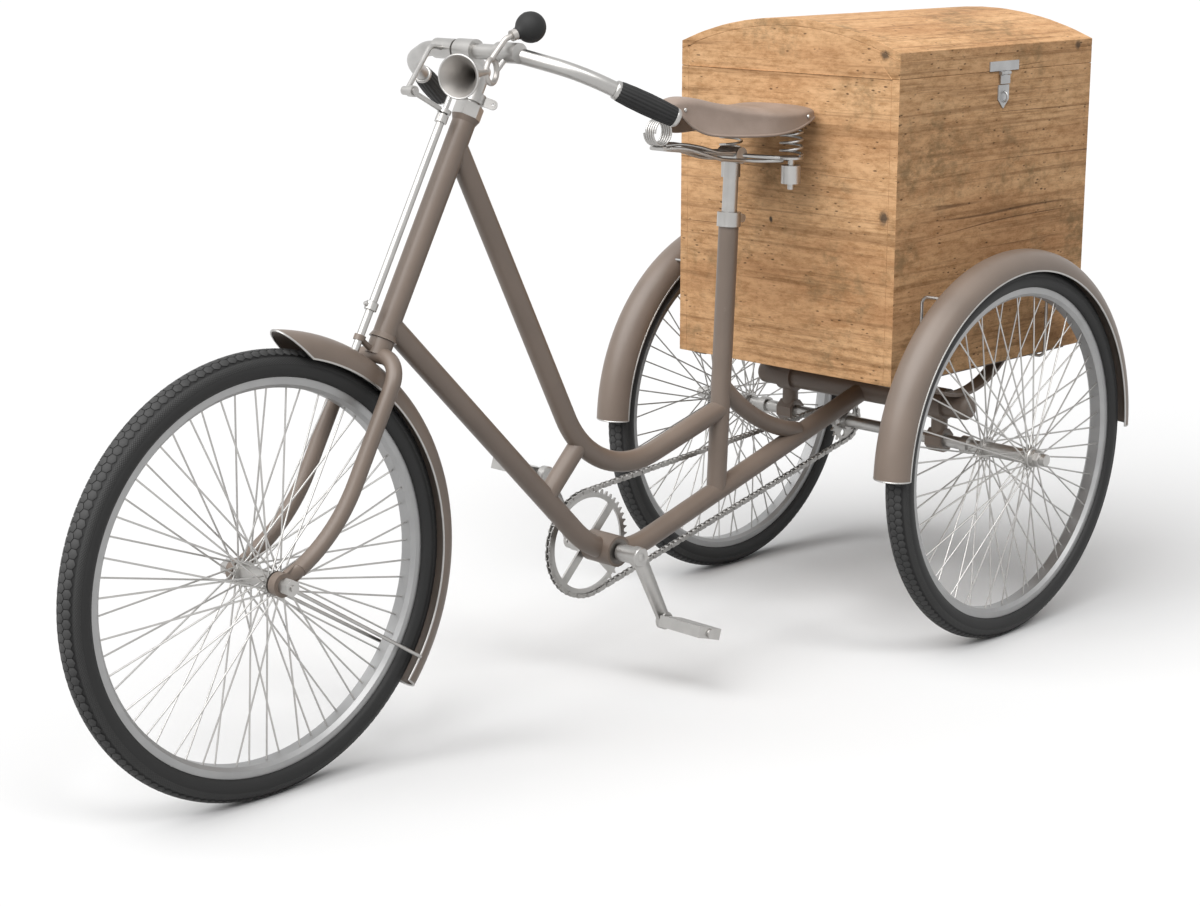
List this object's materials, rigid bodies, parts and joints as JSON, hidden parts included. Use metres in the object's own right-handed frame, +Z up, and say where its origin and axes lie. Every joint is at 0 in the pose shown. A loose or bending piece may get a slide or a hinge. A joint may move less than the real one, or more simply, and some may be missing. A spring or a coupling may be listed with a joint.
{
  "type": "cargo tricycle",
  "caption": "Pedalled cargo tricycle with a steered front wheel, a lidded wooden chest between the rear wheels, a sprung saddle, a bulb horn and a rod brake.",
  "frame": {"origin": "on the ground, under the middle of the tricycle's box", "axes": "+X forward, +Y to the rider's left, +Z up"},
  "size_m": [2.2408, 0.872, 1.2077],
  "materials": {
    "frame_paint": "satin taupe paint",
    "dark_iron": "dark paint",
    "bright_steel": "satin nickel plate",
    "rim_metal": "satin",
    "spoke_steel": "bright wire",
    "chain_steel": "bright steel",
    "hasp_iron": "galvanised",
    "bearing_steel": "machined",
    "tyre": "black rubber with a fine tread",
    "black_rubber": "matte",
    "old_pine": "weathered bare pine",
    "saddle_leather": "worn taupe leather"
  },
  "bodies": {
    "frame": {"head_tube": "frame_paint", "bottom_tube": "frame_paint", "down_tube": "frame_paint", "seat_tube": "frame_paint", "swan_tube": "frame_paint", "frame_braces": "frame_paint", "pedal_bearing_shell": "frame_paint", "bearing_bushes": "bearing_steel", "cross_tube": "frame_paint", "axle_hangers": "frame_paint", "chest_bearers": "dark_iron", "rear_mudguards": "frame_paint", "rear_guard_stays": "bright_steel", "seat_clamp": "bright_steel", "chain": "chain_steel", "chest_floor": "old_pine", "chest_ends": "old_pine", "chest_left_side": "old_pine", "chest_right_side": "old_pine", "chest_ironwork": "hasp_iron"},
    "steering": {"fork": "frame_paint", "locknut": "bright_steel", "handlebar_stem": "bright_steel", "lamp_bracket": "bright_steel", "handlebar": "bright_steel", "grips": "black_rubber", "horn_trumpet": "bright_steel", "horn_bulb": "black_rubber", "bar_clamps": "bright_steel", "front_mudguard": "frame_paint", "front_guard_stays": "bright_steel", "front_axle": "bright_steel"},
    "brake_rod": {"brake_rod": "bright_steel"},
    "brake_lever": {"brake_lever": "bright_steel"},
    "front_wheel": {"front_hub": "bright_steel", "front_spokes": "spoke_steel", "front_rim": "rim_metal", "front_tyre": "tyre"},
    "rear_axle": {"rear_axle": "bright_steel", "sprocket": "chain_steel", "right_hub": "bright_steel", "right_spokes": "spoke_steel", "right_rim": "rim_metal", "right_tyre": "tyre"},
    "left_wheel": {"left_hub": "bright_steel", "left_spokes": "spoke_steel", "left_rim": "rim_metal", "left_tyre": "tyre"},
    "crankset": {"cranks": "bright_steel", "chainring": "bright_steel"},
    "left_pedal": {"left_pedal": "bright_steel"},
    "right_pedal": {"right_pedal": "bright_steel"},
    "lid": {"lid_vault": "old_pine", "lid_band": "old_pine", "lid_ironwork": "hasp_iron"},
    "hasp": {"hasp_strap": "hasp_iron"},
    "seat": {"seat_post": "bright_steel", "saddle_chassis": "bright_steel", "saddle_leather": "saddle_leather", "saddle_springs": "bright_steel"}
  },
  "joints": [
    {"name": "steering_turn", "type": "hinge", "parent": "frame", "child": "steering", "pos_m": [0.32, 0, 1.036], "axis": [-0.4772, 0, 0.8788], "range_deg": [-50, 50]},
    {"name": "brake_rod_slide", "type": "slide", "parent": "steering", "child": "brake_rod", "axis": [0.4772, 0, -0.8788], "range_m": [0, 0.01], "stiffness_N_per_m": 800, "springref_m": -0.012},
    {"name": "brake_lever_rock", "type": "hinge", "parent": "steering", "child": "brake_lever", "pos_m": [0.43213, 0, 1.08516], "axis": [0, -1, 0], "range_deg": [0, 7.6]},
    {"name": "front_wheel_spin", "type": "hinge", "parent": "steering", "child": "front_wheel", "pos_m": [0.7625, 0, 0.358], "axis": [0, 1, 0], "continuous": true},
    {"name": "rear_axle_spin", "type": "hinge", "parent": "frame", "child": "rear_axle", "pos_m": [-0.7335, 0, 0.358], "axis": [0, 1, 0], "continuous": true},
    {"name": "left_wheel_spin", "type": "hinge", "parent": "frame", "child": "left_wheel", "pos_m": [-0.7335, 0.348, 0.358], "axis": [0, 1, 0], "continuous": true},
    {"name": "crank_spin", "type": "hinge", "parent": "frame", "child": "crankset", "pos_m": [-0.0015, 0, 0.25], "axis": [0, 1, 0], "continuous": true},
    {"name": "left_pedal_spin", "type": "hinge", "parent": "crankset", "child": "left_pedal", "pos_m": [-0.06869, 0.145, 0.11813], "axis": [0, 1, 0], "continuous": true},
    {"name": "right_pedal_spin", "type": "hinge", "parent": "crankset", "child": "right_pedal", "pos_m": [0.06569, -0.145, 0.38187], "axis": [0, 1, 0], "continuous": true},
    {"name": "lid_swing", "type": "hinge", "parent": "frame", "child": "lid", "pos_m": [-0.78265, -0.2678, 1.06585], "axis": [1, 0, 0], "range_deg": [0, 100]},
    {"name": "hasp_swing", "type": "hinge", "parent": "lid", "child": "hasp", "pos_m": [-0.7935, 0.2664, 1.062], "axis": [1, 0, 0], "range_deg": [0, 120]},
    {"name": "seat_slide", "type": "slide", "parent": "frame", "child": "seat", "axis": [-0.0518, 0, 0.9987], "range_m": [-0.02, 0.06]}
  ],
  "couplings": [
    {"joint": "crank_spin", "follows": "rear_axle_spin", "ratio": 0.41667},
    {"joint": "brake_lever_rock", "follows": "brake_rod_slide", "rad_per_m": 13.158}
  ]
}
